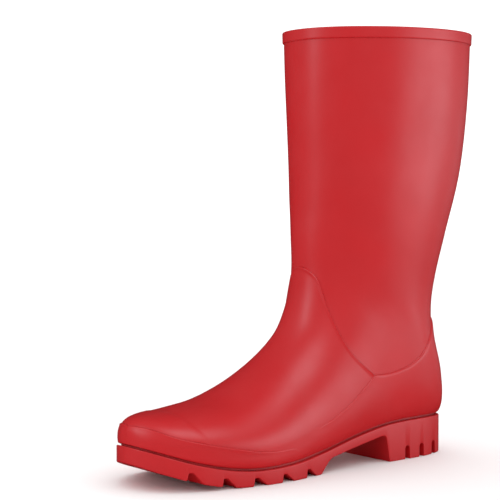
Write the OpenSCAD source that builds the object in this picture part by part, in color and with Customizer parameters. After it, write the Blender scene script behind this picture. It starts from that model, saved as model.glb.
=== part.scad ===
// Rubber rain boot, right foot, built up from panels over a knitted sock.
// Millimetres. The sole stands on Z = 0, the toe points to -Y, and +X is the inner side.

/* [Overall size] */
// Length of the outsole, heel to toe
sole_length = 272; // [250:1:295]
// Height of the front of the leg opening over the floor
boot_height = 308; // [285:1:350]
// Width over the ball of the foot, at the panels
ball_width = 97; // [90:1:106]
// Width of the leg opening, outside the rubber
rim_width = 112; // [102:1:122]
// Front-to-back length of the leg opening, outside the rubber
rim_length = 150; // [140:1:156]

/* [Rubber and lining] */
// Thickness of the rubber of the leg
rubber = 1.8; // [1.6:0.1:2]
// Thickness of the knitted lining
knit = 0.8; // [0.6:0.1:1]
// How far the vamp stands proud of the leg
vamp_step = 0.6; // [0.4:0.1:0.8]
// How far the heel counter stands proud of the leg
counter_step = 1.2; // [1:0.1:1.4]
// Thickness of the toe rand and of the top band
rand_t = 1; // [0.8:0.1:1.2]
// Height of the top band
band_h = 8; // [7:0.5:10]

/* [Outsole] */
// How far the outsole reaches past the upper
ledge = 2.6; // [2.2:0.1:3]
// Height of the dark groove between outsole and upper
groove_h = 1.5; // [1.4:0.1:2]
// Depth of the notches between the forepart lugs
lug_depth = 5.5; // [4:0.5:6]
// Distance from one forepart notch to the next
lug_pitch = 23.5; // [22:0.5:25]
// Width of the round-topped slots in the side of the heel
heel_slot_w = 5; // [4:0.5:6]
// Height of those slots
heel_slot_h = 10; // [8:0.5:12]

/* [Inside] */
// Thickness of the insole board
board_t = 2.2; // [2:0.1:2.6]
// Thickness of the footbed foam
foam_t = 4; // [3:0.5:5]
// Thickness of the cloth on the footbed
cloth_t = 0.8; // [0.6:0.1:1]
// Thickness of the heel stiffener and of the toe puff at their thickest
stiffener_t = 0.9; // [0.7:0.1:1]

/* [Hidden] */

// ---- sizes that follow from the driving dimensions

long = sole_length / 272;
wide = ball_width / 97;
toe_a = sole_length - ledge - 0.4;
rim_front = 124.5;
rim_back = rim_front - rim_length;
// the ankle stays at its height and the leg above it stretches with the boot
ankle_z = 133;
function up(z) = z <= ankle_z ? z : ankle_z + (z - ankle_z) * (boot_height - ankle_z) / (308 - ankle_z);

// gap that keeps bonded faces from sharing space
clear = 0.05;
// middle of the whole boot, front to back
mid_a = (sole_length - 0.4 + rim_back - rand_t) / 2;

// a point is (a, s, z): a forward from the back of the heel, s to the inner side, z up
function place(p) = [p[1], mid_a - p[0], p[2]];

// ---- the top of the outsole, as heights at even steps from the heel to the toe

TOP_STEP = 34 * long;
TOP_KEYS = [27.4, 28.2, 26.8, 21.5, 14.2, 10.6, 10.6, 17, 28.2];

function spline(p0, p1, p2, p3, t) = 0.5 * (2 * p1 + (p2 - p0) * t
    + (2 * p0 - 5 * p1 + 4 * p2 - p3) * t * t
    + (3 * p1 - p0 - 3 * p2 + p3) * t * t * t);

function along(keys, v) = let(
        n = len(keys) - 1,
        i = max(0, min(floor(v), n - 1)),
        p1 = keys[i],
        p2 = keys[i + 1],
        p0 = i > 0 ? keys[i - 1] : 2 * p1 - p2,
        p3 = i < n - 1 ? keys[i + 2] : 2 * p2 - p1)
    spline(p0, p1, p2, p3, v - i);

STATIONS = 36;
TOP = [for (k = [-1 : STATIONS + 1]) let(v = k * 8 / STATIONS) [v * TOP_STEP, along(TOP_KEYS, v)]];
function sole_top(a) = lookup(a, TOP);

// ---- key sections of the upper, from the toe over the instep and up the leg

// each row: front or top point (a, z), back or bottom point (a, z), sideways shift,
// half width inner and outer, where the widest point lies between bottom and top,
// roundness above and below it (2 is an ellipse, more is squarer)
TOE_Z = sole_top(toe_a) + groove_h;
HEEL_Z = sole_top(1.5) + groove_h;
SECTIONS = [
    // tip of the toe, then the toe box
    [toe_a, TOE_Z + 8, toe_a, TOE_Z, 6, 0, 0, 0.50, 2.0, 2.0],
    [267 * long, 41.5, 266 * long, 22.0, 5.5, 13.0 * wide, 13.0 * wide, 0.42, 2.1, 2.6],
    [260 * long, 45.0, 257 * long, 18.0, 5.0, 26.0 * wide, 26.0 * wide, 0.40, 2.2, 3.2],
    [246 * long, 46.5, 243 * long, 14.0, 3.5, 37.0 * wide, 38.0 * wide, 0.40, 2.3, 4.0],
    // ball of the foot
    [225 * long, 48.5, 222 * long, 10.5, 2.0, 45.0 * wide, 43.5 * wide, 0.38, 2.3, 4.5],
    [199 * long, 53.0, 194 * long, 7.5, 0.0, 50.0 * wide, 46.5 * wide, 0.34, 2.2, 5.0],
    [172 * long, 64.5, 166 * long, 5.0, -1.0, 49.0 * wide, 45.5 * wide, 0.34, 2.1, 4.5],
    // waist and instep
    [148.5 * long, 80.5, 136 * long, 5.0, -1.0, 44.0 * wide, 41.5 * wide, 0.36, 2.1, 3.2],
    [133.4 * long, 97.5, 99 * long, 9.5, 0.0, 40.3 * wide, 38.0 * wide, 0.40, 2.1, 2.6],
    // from the instep down under the heel
    [125.8 * long, 115, 60 * long, 18.5, 0.0, 38.6 * wide, 37.5 * wide, 0.45, 2.1, 2.8],
    [122.4, 133, 20.5, 24.0, 0.0, 38.7 * wide, 38.3 * wide, 0.50, 2.1, 3.0],
    [122.2, up(147), 1.2, HEEL_Z, 0.0, 39.0 * wide, 39.0 * wide, 0.50, 2.1, 2.4],
    // back of the heel and ankle
    [122.3, up(157), 0.0, 52, 0.0, 39.5 * wide, 39.5 * wide, 0.50, 2.1, 2.2],
    [122.0, up(168), 6.0, 78, 0.0, 40.8 * wide, 40.8 * wide, 0.50, 2.1, 2.0],
    [121.5, up(180), 9.2, 102, 0.0, 42.6 * wide, 42.6 * wide, 0.50, 2.1, 2.0],
    [121.5, up(194.5), 6.2, 125.5, 0.0, 45.0, 45.0, 0.50, 2.1, 2.0],
    // calf and leg opening
    [121.7, up(214), -2.8, up(157), 0.0, 47.7, 47.7, 0.50, 2.1, 2.0],
    [123.0, up(241), -17.0, up(203), 0.0, 50.5, 50.5, 0.50, 2.1, 2.0],
    [124.0, up(275), rim_back + 2.2, up(254), 0.0, rim_width / 2 - 2, rim_width / 2 - 2, 0.50, 2.1, 2.0],
    [rim_front, boot_height - 1.5, rim_back, boot_height, 0.0, rim_width / 2, rim_width / 2, 0.50, 2.1, 2.0]];

V_TOP = len(SECTIONS) - 1;
// the section whose back point is the back of the heel, at the groove
V_HEEL = 11;
// the front edge of the heel counter
V_WAIST = 6.9;

// point of section k at angle phi: 0 at the front, 90 at the inner side, 180 at the back
function ring(k, phi) = let(
        fore = cos(phi) >= 0,
        n = fore ? k[8] : k[9],
        r = pow(pow(abs(cos(phi)), n) + pow(abs(sin(phi)), n), -1 / n),
        share = k[7] + (fore ? 1 - k[7] : k[7]) * r * cos(phi),
        w = sin(phi) >= 0 ? k[5] : k[6])
    [k[2] + (k[0] - k[2]) * share, k[4] + w * r * sin(phi), k[3] + (k[1] - k[3]) * share];

// angle at which section k meets the groove over the outsole, found by halving
function feather(k, side, lo = 60, hi = 180, steps = 24) = let(
        mid = (lo + hi) / 2,
        p = ring(k, side * mid))
    steps == 0 ? mid
    : p[2] > sole_top(p[0]) + groove_h ? feather(k, side, mid, hi, steps - 1)
    : feather(k, side, lo, mid, steps - 1);
function last_phi(v, k, side) = v <= 0 || v >= V_HEEL ? 180 : feather(k, side);
function feather_point(v, side) = let(k = along(SECTIONS, v)) ring(k, side * last_phi(v, k, side));

// ---- the grid that all panels share: columns from the ridge to the groove, rows from
// ---- the toe to the leg opening, with rows that run along the seams

COLS = 17;
SIDE_COL = 8;
// share of the way from the side column to the last one
function behind(q) = max(0, (q - SIDE_COL) / (COLS - SIDE_COL));
function nominal_phi(q) = q <= SIDE_COL ? 90 * q / SIDE_COL : 90 + 30 * behind(q);

// seam of the leg with vamp and counter: a section number for each column
SEAM = [10.45, 10.4, 10.15, 9.5, 9.13, 8.93, 8.9, 9.0, 9.15,
    9.51, 9.94, 10.66, 11.51, 12.32, 13.06, 13.64, 13.99, 14.11];
// and for the columns behind the side, how far behind it in degrees
SEAM_ROUND = [0, 7.2, 11.7, 13.6, 19.2, 29.2, 42.8, 57.8, 73.6, 90.0];
// upper edge of the toe rand, against the angle round the toe
RAND = [[0, 0.7], [30, 1.15], [56, 2.06], [70, 2.8], [80, 3.8], [90, 5.0], [100, 6.1], [120, 6.6]];
// rear edge of the toe cap, until it runs into the rand
CAP = [[0, 3.4], [46, 3.46], [70, 3.69]];
function rand_v(q) = lookup(nominal_phi(q), RAND);
function cap_v(q) = max(rand_v(q), lookup(nominal_phi(q), CAP));

ROW_RAND = 7;
ROW_CAP = 11;
ROW_WAIST = 16;
ROW_HEEL = 26;
ROW_SEAM = 31;
ROW_BAND = 40;
ROW_TOP = 42;
heel_share = (V_HEEL - V_WAIST) / (SEAM[COLS] - V_WAIST);
// share of the way between two row lines
function part_of(j, from, to) = (j - from) / (to - from);
function mix(a, b, t) = a + (b - a) * t;

// how far up from the waist to the seam a row has come: on the inner columns evenly, and on
// the last one so that the points are evenly spaced round the heel
function even_part(j) = part_of(j, ROW_WAIST, ROW_SEAM);
function heel_part(j) = j <= ROW_HEEL ? heel_share * (1 - pow(1 - part_of(j, ROW_WAIST, ROW_HEEL), 1.8))
    : mix(heel_share, 1, part_of(j, ROW_HEEL, ROW_SEAM));
function row_part(q, j) = mix(even_part(j), heel_part(j), pow(behind(q), 5));

// the lower edge of the top band keeps its height all round, though the last section
// is nearer to the rim in front than behind
function band_v(q) = let(front = (1 + cos(90 * (min(q / SIDE_COL, 1) + behind(q)))) / 2)
    V_TOP - band_h / mix(boot_height - up(254), boot_height - 1.5 - up(275), front);

function row_v(q, j) =
    j <= ROW_RAND ? rand_v(q) * pow(j / ROW_RAND, 1.6)
    : j <= ROW_CAP ? mix(rand_v(q), cap_v(q), part_of(j, ROW_RAND, ROW_CAP))
    : j <= ROW_WAIST ? mix(cap_v(q), V_WAIST, part_of(j, ROW_CAP, ROW_WAIST))
    : j == ROW_HEEL && q == COLS ? V_HEEL
    : j <= ROW_SEAM ? mix(V_WAIST, SEAM[q], row_part(q, j))
    : j <= ROW_BAND ? mix(SEAM[q], band_v(q), part_of(j, ROW_SEAM, ROW_BAND))
    : mix(band_v(q), V_TOP, part_of(j, ROW_BAND, ROW_TOP));

// degrees from the side to the groove at section v, and along the last column
function groove_round(v) = last_phi(v, along(SECTIONS, v), 1) - 90;
WAIST_ROUND = groove_round(V_WAIST);
HEEL_TURN = [for (j = [ROW_WAIST : ROW_SEAM]) j >= ROW_HEEL ? 1
    : (groove_round(row_v(COLS, j)) - WAIST_ROUND) / (90 - WAIST_ROUND)];
function turned(q, j) = mix(even_part(j), HEEL_TURN[j - ROW_WAIST], pow(behind(q), 5));
function eased(t) = t * t * (3 - 2 * t);

// angle of column q at row j
function col_phi(q, j, last) = q <= SIDE_COL ? 90 * q / SIDE_COL
    : 90 + (j <= ROW_WAIST ? (last - 90) * behind(q)
    : j <= ROW_SEAM ? mix(WAIST_ROUND * behind(q), SEAM_ROUND[q - SIDE_COL], turned(q, j))
    : j < ROW_BAND ? mix(SEAM_ROUND[q - SIDE_COL], 90 * behind(q), eased(part_of(j, ROW_SEAM, ROW_BAND)))
    : 90 * behind(q));

function unit(v) = v / norm(v);
dv = 0.02;
dphi = 1;
// outward direction of the upper
function outward(v, phi) = unit(cross(
    ring(along(SECTIONS, v), phi + dphi) - ring(along(SECTIONS, v), phi - dphi),
    ring(along(SECTIONS, v + dv), phi) - ring(along(SECTIONS, v - dv), phi)));
// level outward direction along the groove
function outward_plan(v, side) = let(
        d = feather_point(min(v + dv, V_HEEL), side) - feather_point(max(v - dv, 0), side))
    side * unit([d[1], -d[0], 0]);

// towards the groove the layers are stacked level, so that they all end on it
function levelling(q, v) = pow((q - SIDE_COL) / (COLS - SIDE_COL), 2)
    * (q == COLS ? 1 : min(1, (V_HEEL - v) / 0.3));

// a point of the grid and its outward direction
function grid_point(c, j) = let(
        q = abs(c),
        v = row_v(q, j),
        side = c < 0 && j > 0 && !(q == COLS && j >= ROW_HEEL) ? -1 : 1,
        k = along(SECTIONS, v),
        phi = side * col_phi(q, j, last_phi(v, k, side)),
        p = ring(k, phi))
    [p, j == 0 ? unit([1, 0, 0.6 * (p[2] - TOE_Z) / 8])
        : q == COLS && j == ROW_HEEL ? [-1, 0, 0]
        : q <= SIDE_COL || v >= V_HEEL ? outward(v, phi)
        : unit(mix(outward(v, phi), outward_plan(v, side), levelling(q, v)))];

GRID = [for (j = [0 : ROW_TOP]) [for (c = [-COLS : COLS]) grid_point(c, j)]];

// how far the lower edge of a row rises when it moves out by d, to stay on the groove
function rise(c, j, d) = let(edge = GRID[j][c < 0 ? 0 : 2 * COLS])
    j > ROW_HEEL ? 0 : clear + sole_top(edge[0][0] + d * edge[1][0]) - sole_top(edge[0][0]);
// how much of that rise a column takes; the toe tip moves as one
function rise_share(q, j) = j == 0 ? 1 : q <= SIDE_COL ? 0 : pow((q - SIDE_COL) / (COLS - SIDE_COL), 2);

// the same point moved out by d
function at(c, j, d) = let(g = GRID[j][c + COLS])
    g[0] + d * g[1] + [0, 0, rise(c, j, d) * rise_share(abs(c), j)];

// ---- a panel: all grid cells that has() names, from the offset lo() out to hi()

module panel(j0, j1, has, lo, hi) {
    w = 2 * COLS + 1;
    rows = j1 - j0 + 1;
    pts = [for (d = [hi, lo]) for (j = [j0 : j1]) for (c = [-COLS : COLS]) place(at(c, j, d(abs(c), j)))];
    id = function(layer, c, j) (layer * rows + j - j0) * w + c + COLS;
    cell = function(c, j) j >= j0 && j < j1 && has(c >= 0 ? c : -c - 1, j);
    // the middle edge at the groove is open, and closed up the back of the leg
    shut = function(c, j) c < -COLS || c >= COLS ? j >= ROW_HEEL : cell(c, j);
    quads = [for (j = [j0 : j1 - 1]) for (c = [-COLS : COLS - 1]) if (cell(c, j))
        let(a = [c, j], b = [c + 1, j], e = [c + 1, j + 1], f = [c, j + 1])
        each [
            [[0, f], [0, e], [0, b], [0, a]],
            [[1, e], [1, f], [1, a], [1, b]],
            if (j > 0 && !cell(c, j - 1)) [[0, a], [0, b], [1, b], [1, a]],
            if (!cell(c, j + 1)) [[0, e], [0, f], [1, f], [1, e]],
            if (!shut(c + 1, j)) [[0, b], [0, e], [1, e], [1, b]],
            if (!shut(c - 1, j)) [[0, f], [0, a], [1, a], [1, f]]]];
    tris = [for (q = quads) let(i = [for (p = q) id(p[0], p[1][0], p[1][1])])
        each [[i[0], i[1], i[2]], [i[0], i[2], i[3]]]];
    same = function(a, b) norm(pts[a] - pts[b]) < 1e-6;
    polyhedron(pts, [for (t = tris) if (!same(t[0], t[1]) && !same(t[1], t[2]) && !same(t[2], t[0])) t]);
}

function level(d) = function(q, j) d;
everywhere = function(q, j) true;

// the stiffener and the toe puff are skived to nothing at their edges
stiff_area = function(q, j) q > SIDE_COL && j > ROW_WAIST + 3 && j < ROW_SEAM - 1;
puff_area = function(q, j) j > 0 && j < ROW_CAP && q < COLS;
skin = -rubber;
lining_in = -rubber - knit;
function under_counter(q, j) = skin + (stiff_area(q, j) ? stiffener_t : 0);
function under_vamp(q, j) = skin + (puff_area(q, j) || j == 0 ? stiffener_t : 0);

module leg() {
    color("firebrick") panel(ROW_SEAM, ROW_TOP, everywhere, level(skin), level(0));
}

module vamp() {
    color("crimson") panel(0, ROW_SEAM, function(q, j) q < SIDE_COL || j < ROW_WAIST,
        function(q, j) under_vamp(q, j), level(vamp_step));
}

module heel_counter() {
    color("firebrick") panel(ROW_WAIST, ROW_SEAM, function(q, j) q >= SIDE_COL,
        function(q, j) under_counter(q, j), level(counter_step));
}

module toe_cap() {
    color("crimson") panel(ROW_RAND, ROW_CAP,
        function(q, j) cap_v(q) > rand_v(q) || cap_v(q + 1) > rand_v(q + 1),
        level(vamp_step), level(vamp_step + 0.5));
}

module toe_rand() {
    color("brown") panel(0, ROW_RAND, everywhere, level(vamp_step), level(vamp_step + rand_t));
}

module top_band() {
    color("brown") panel(ROW_BAND, ROW_TOP, everywhere, level(0), level(rand_t));
}

module knit_lining() {
    color("gainsboro") panel(0, ROW_TOP, everywhere, level(lining_in), level(skin));
}

module heel_stiffener() {
    color("tan") panel(ROW_WAIST + 3, ROW_SEAM - 1, function(q, j) q >= SIDE_COL,
        level(skin), function(q, j) under_counter(q, j));
}

module toe_puff() {
    color("tan") panel(0, ROW_CAP, everywhere, level(skin), function(q, j) under_vamp(q, j));
}

// ---- the bottom: plates whose outline follows the groove and whose faces follow the sole

function outline(d) = [
    for (j = [0 : ROW_HEEL]) let(p = place(at(COLS, j, d))) [p[0], p[1]],
    for (j = [ROW_HEEL - 1 : -1 : 1]) let(p = place(at(-COLS, j, d))) [p[0], p[1]]];

// a block right across the boot whose side view is the given outline
module side_view(points, width = 160) {
    rotate([90, 0, 90]) linear_extrude(width, center = true)
        polygon([for (p = points) [mid_a - p[0], p[1]]]);
}

function strip(lo, hi) = [
    for (t = TOP) [t[0], t[1] + lo],
    for (i = [len(TOP) - 1 : -1 : 0]) [TOP[i][0], TOP[i][1] + hi]];

module plate(d, lo, hi) {
    intersection() {
        linear_extrude(90) polygon(outline(d));
        side_view(strip(lo, hi));
    }
}

// the shank lies in a channel of the midsole
SHANK_FROM = 48 * long;
SHANK_TO = 150 * long;
SHANK_W = 14;
module shank_shape(grow) {
    intersection() {
        translate([-SHANK_W / 2 - grow, mid_a - SHANK_TO - grow, 0])
            cube([SHANK_W + 2 * grow, SHANK_TO - SHANK_FROM + 2 * grow, 90]);
        side_view(strip(0.25 - grow, groove_h - 0.25 + grow));
    }
}

module shank() {
    color("silver") shank_shape(0);
}

module midsole() {
    color("maroon") difference() {
        plate(-0.5, clear, groove_h);
        shank_shape(clear);
    }
}

module insole_board() {
    color("peru") plate(lining_in - 0.2, groove_h + clear, groove_h + board_t);
}

module footbed_foam() {
    color("dimgray") plate(lining_in - 0.8, groove_h + board_t + clear, groove_h + board_t + foam_t);
}

module footbed_cloth() {
    z = groove_h + board_t + foam_t;
    color("gainsboro") plate(lining_in - 0.8, z + clear, z + cloth_t);
}

// ---- the outsole: one moulding with lugs under the forepart and a slotted heel

HEEL_FRONT = 66.5 * long;
// the underside from the toe to the heel: toe spring, tread, waist, heel breast
function under_side() = [
    [275 * long, 18.5], [262 * long, 13], [248 * long, 8], [237 * long, 5], [227 * long, 2.8],
    [216 * long, 1], [205 * long, 0], [137 * long, 0], [127 * long, 10], [106 * long, 14],
    [HEEL_FRONT + 4, 20], [HEEL_FRONT, 0], [-10, 0]];
UNDER = [for (i = [len(under_side()) - 1 : -1 : 0]) under_side()[i]];
function under_z(a) = a < 205 * long ? 0 : lookup(a, UNDER);

NOTCHES = [for (i = [0 : 4]) 150.5 * long + i * lug_pitch];
// a notch is steep towards the toe and slants back towards the heel
module notch(a) {
    z = under_z(a);
    side_view([[a + 3, z - 4], [a + 1.5, z + lug_depth], [a - 1.5, z + lug_depth],
        [a - 8.5, under_z(a - 8.5)], [a - 9, z - 4]]);
}

// where the slots lie, and how near the middle each one reaches
SLOTS = [[17 * long, 15], [32.5 * long, 23], [48 * long, 25]];
// a round-topped slot in each side of the heel
module heel_slot(slot) {
    y = mid_a - slot[0];
    z = heel_slot_h - heel_slot_w / 2;
    deep = 46 - slot[1];
    for (side = [-1, 1]) translate([side * (slot[1] + deep / 2), y, 0]) {
        translate([0, 0, z]) rotate([0, 90, 0])
            cylinder(h = deep, d = heel_slot_w, center = true, $fn = 32);
        translate([0, 0, z / 2 - 1]) cube([deep, heel_slot_w, z + 2], center = true);
    }
}

// the light core that fills the hollow of the heel
CORE = [14 * long, 56 * long];
CORE_W = 30;
CORE_FLOOR = 14;
module core_shape(grow, top) {
    intersection() {
        translate([-CORE_W / 2 - grow, mid_a - CORE[1] - grow, CORE_FLOOR - grow])
            cube([CORE_W + 2 * grow, CORE[1] - CORE[0] + 2 * grow, 60]);
        side_view(strip(-40, top));
    }
}

module heel_core() {
    color("tan") core_shape(-clear, -clear);
}

module outsole() {
    color("firebrick") difference() {
        intersection() {
            linear_extrude(60) polygon(outline(ledge));
            side_view([for (t = TOP) t, each under_side()]);
        }
        for (a = NOTCHES) notch(a);
        for (slot = SLOTS) heel_slot(slot);
        core_shape(0, 5);
    }
}

outsole();
midsole();
heel_core();
shank();
insole_board();
leg();
vamp();
heel_counter();
toe_cap();
toe_rand();
top_band();
knit_lining();
heel_stiffener();
toe_puff();
footbed_foam();
footbed_cloth();
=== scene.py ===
"""Looks of the rubber rain boot: smooth rubber panels over a knitted sock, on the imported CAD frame.

The pieces repeat the boot's form from part.scad (same key sections, same rows and columns), at a
finer step and with rounded panel edges. Lengths here are millimetres until a mesh is made.
A point is (a, s, z): a forward from the back of the heel, s to the inner side, z up. place() turns
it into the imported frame, in metres, where the toe points to -Y and +X is the inner side.
"""
import math

import bmesh
import bpy
import numpy as np
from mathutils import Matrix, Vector


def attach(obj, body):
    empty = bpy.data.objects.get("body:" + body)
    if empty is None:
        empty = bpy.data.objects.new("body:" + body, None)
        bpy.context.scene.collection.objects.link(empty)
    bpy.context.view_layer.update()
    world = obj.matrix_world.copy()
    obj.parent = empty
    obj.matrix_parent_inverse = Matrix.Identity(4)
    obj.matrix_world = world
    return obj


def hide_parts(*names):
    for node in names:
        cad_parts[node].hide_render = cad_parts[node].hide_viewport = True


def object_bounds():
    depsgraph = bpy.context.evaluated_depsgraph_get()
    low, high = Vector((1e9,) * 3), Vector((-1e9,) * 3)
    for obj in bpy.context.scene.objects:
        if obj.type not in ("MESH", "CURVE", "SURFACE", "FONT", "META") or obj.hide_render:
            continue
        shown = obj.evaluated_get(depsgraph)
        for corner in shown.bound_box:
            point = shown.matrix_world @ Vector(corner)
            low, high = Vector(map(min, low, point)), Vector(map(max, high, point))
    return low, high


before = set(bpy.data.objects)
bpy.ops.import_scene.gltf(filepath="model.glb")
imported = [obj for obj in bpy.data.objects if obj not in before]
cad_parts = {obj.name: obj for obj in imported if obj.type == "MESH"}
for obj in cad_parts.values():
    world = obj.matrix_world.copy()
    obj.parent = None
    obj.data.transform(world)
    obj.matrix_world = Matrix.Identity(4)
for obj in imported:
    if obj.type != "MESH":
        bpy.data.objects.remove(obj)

MM = 0.001
CAD_BOX = [list(corner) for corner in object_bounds()]

# ------------------------------------------------------------------ the boot's form

RUBBER, KNIT = 1.8, 0.8                      # wall thicknesses
VAMP_STEP, COUNTER_STEP = 0.6, 1.2           # how far they stand proud of the leg's outer face
RAND_T, CAP_T, BAND_H = 1.0, 0.5, 8.0        # the rand and the top band are equally thick
LEDGE, GROOVE_H = 2.6, 1.5                   # reach of the outsole past the upper, groove between them
BOARD_T, FOAM_T, CLOTH_T = 2.2, 4.0, 0.8
GAP = 0.05                                   # keeps bonded faces from sharing space
RIM_FRONT, RIM_BACK = 124.5, -25.5
# the CAD centres the boot front to back, and the band at the back of the rim is its rearmost point
MID_A = 1000 * CAD_BOX[1][1] + RIM_BACK - RAND_T

# the top of the outsole, as heights at even steps from the heel to the toe
TOP_STEP = 34.0
TOP_KEYS = np.array([27.4, 28.2, 26.8, 21.5, 14.2, 10.6, 10.6, 17.0, 28.2])
TOE_A, TIP_H = 269.0, 8.0                    # tip of the toe, and its height over the groove
V_HEEL, V_WAIST, V_TOP = 11.0, 6.9, 19.0     # section numbers at the heel, the waist and the rim


def along(keys, v, before=None):
    """Catmull-Rom through keys at even steps, at v; before is the key ahead of the first one."""
    keys = np.asarray(keys, float)
    v = np.asarray(v, float)
    n = len(keys) - 1
    i = np.clip(np.floor(v).astype(int), 0, n - 1)
    t = v - i
    if keys.ndim > 1:
        t = t[..., None]
    p1, p2 = keys[i], keys[i + 1]
    first, last = i == 0, i == n - 1
    if keys.ndim > 1:
        first, last = first[..., None], last[..., None]
    p0 = np.where(first, 2 * p1 - p2 if before is None else before, keys[np.maximum(i - 1, 0)])
    p3 = np.where(last, 2 * p2 - p1, keys[np.minimum(i + 2, n)])
    return 0.5 * (2 * p1 + (p2 - p0) * t + (2 * p0 - 5 * p1 + 4 * p2 - p3) * t ** 2
                  + (3 * p1 - p0 - 3 * p2 + p3) * t ** 3)


def sole_top(a):
    """Height of the top of the outsole."""
    return along(TOP_KEYS, np.asarray(a, float) / TOP_STEP)


TOE_Z = float(sole_top(TOE_A)) + GROOVE_H
HEEL_Z = float(sole_top(1.5)) + GROOVE_H
# front (a, z), back (a, z), shift, half widths inner and outer, widest at, roundness above, below
SECTIONS = np.array([
    [TOE_A, TOE_Z + TIP_H, TOE_A, TOE_Z, 6, 0, 0, 0.50, 2.0, 2.0],
    [267, 41.5, 266, 22.0, 5.5, 13.0, 13.0, 0.42, 2.1, 2.6],
    [260, 45.0, 257, 18.0, 5.0, 26.0, 26.0, 0.40, 2.2, 3.2],
    [246, 46.5, 243, 14.0, 3.5, 37.0, 38.0, 0.40, 2.3, 4.0],
    [225, 48.5, 222, 10.5, 2.0, 45.0, 43.5, 0.38, 2.3, 4.5],
    [199, 53.0, 194, 7.5, 0.0, 50.0, 46.5, 0.34, 2.2, 5.0],
    [172, 64.5, 166, 5.0, -1.0, 49.0, 45.5, 0.34, 2.1, 4.5],
    [148.5, 80.5, 136, 5.0, -1.0, 44.0, 41.5, 0.36, 2.1, 3.2],
    [133.4, 97.5, 99, 9.5, 0.0, 40.3, 38.0, 0.40, 2.1, 2.6],
    [125.8, 115, 60, 18.5, 0.0, 38.6, 37.5, 0.45, 2.1, 2.8],
    [122.4, 133, 20.5, 24.0, 0.0, 38.7, 38.3, 0.50, 2.1, 3.0],
    [122.2, 147, 1.2, HEEL_Z, 0.0, 39.0, 39.0, 0.50, 2.1, 2.4],
    [122.3, 157, 0.0, 52, 0.0, 39.5, 39.5, 0.50, 2.1, 2.2],
    [122.0, 168, 6.0, 78, 0.0, 40.8, 40.8, 0.50, 2.1, 2.0],
    [121.5, 180, 9.2, 102, 0.0, 42.6, 42.6, 0.50, 2.1, 2.0],
    [121.5, 194.5, 6.2, 125.5, 0.0, 45.0, 45.0, 0.50, 2.1, 2.0],
    [121.7, 214, -2.8, 157, 0.0, 47.7, 47.7, 0.50, 2.1, 2.0],
    [123.0, 241, -17.0, 203, 0.0, 50.5, 50.5, 0.50, 2.1, 2.0],
    [124.0, 275, -23.3, 254, 0.0, 54.0, 54.0, 0.50, 2.1, 2.0],
    [RIM_FRONT, 306.5, RIM_BACK, 308, 0.0, 56.0, 56.0, 0.50, 2.1, 2.0]])
# the toe is round in plan: ahead of its tip the boot would come back the way it went
BEFORE_TOE = 2 * SECTIONS[0] - SECTIONS[1]
BEFORE_TOE[[0, 2]] = SECTIONS[1, [0, 2]]


def ring(v, phi):
    """Points of section v at angle phi in degrees: 0 front, 90 inner side, 180 back."""
    numbers = np.moveaxis(along(SECTIONS, v, BEFORE_TOE), -1, 0)
    fa, fz, ba, bz, shift, wl, wr, widest, n_up, n_low = numbers
    c, s = np.cos(np.radians(phi)), np.sin(np.radians(phi))
    s = np.where(np.abs(s) < 1e-12, 0, s)
    n = np.where(c >= 0, n_up, n_low)
    r = (np.abs(c) ** n + np.abs(s) ** n) ** (-1 / n)
    share = widest + np.where(c >= 0, 1 - widest, widest) * r * c
    w = np.where(s >= 0, wl, wr)
    return np.stack([ba + (fa - ba) * share, shift + w * r * s, bz + (fz - bz) * share], -1)


def last_phi(v, side):
    """Angle at which each section meets the groove, found by halving; 180 above the heel."""
    v = np.asarray(v, float)
    low, high = np.full(v.shape, 60.0), np.full(v.shape, 180.0)
    for _ in range(30):
        mid = (low + high) / 2
        p = ring(v, side * mid)
        above = p[..., 2] > sole_top(p[..., 0]) + GROOVE_H
        low, high = np.where(above, mid, low), np.where(above, high, mid)
    return np.where((v <= 0) | (v >= V_HEEL), 180.0, (low + high) / 2)


# ------------------------------------------------------------------ rows and columns of the panels

# columns run from the ridge (0) past the side to the groove or the back, and rows from the tip of
# the toe (0) up to the rim; the panels meet on the rows and columns named here
COLS, SIDE_COL = 17, 8
ROW_RAND, ROW_CAP, ROW_WAIST, ROW_HEEL, ROW_SEAM, ROW_BAND, ROW_TOP = 7, 11, 16, 26, 31, 40, 42
# seam of the leg with the vamp: a section number for each column from the ridge to the side
SEAM_FRONT = [10.45, 10.4, 10.15, 9.5, 9.13, 8.93, 8.9, 9.0, 9.15]
# and with the heel counter: (a, z) as the side view shows it, from the back to the side
SEAM_BACK = np.array([
    (2, 104.5), (8.5, 104.5), (11, 103.3), (15, 100.8), (20.7, 96.8), (26, 91.6), (32, 85),
    (40, 77), (51, 70.2), (62, 66.6), (74, 64.7), (87, 64.4), (100, 65.5)])


def seam_height(a):
    """Height of the counter's seam at a, smoothly through its points."""
    x, z = SEAM_BACK.T
    slope = np.gradient(z, x)
    k = np.clip(np.searchsorted(x, a) - 1, 0, len(x) - 2)
    h = x[k + 1] - x[k]
    t = np.clip((a - x[k]) / h, 0, 1)
    return ((1 + 2 * t) * (1 - t) ** 2 * z[k] + t * (1 - t) ** 2 * h * slope[k]
            + t * t * (3 - 2 * t) * z[k + 1] + t * t * (t - 1) * h * slope[k + 1])


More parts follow.
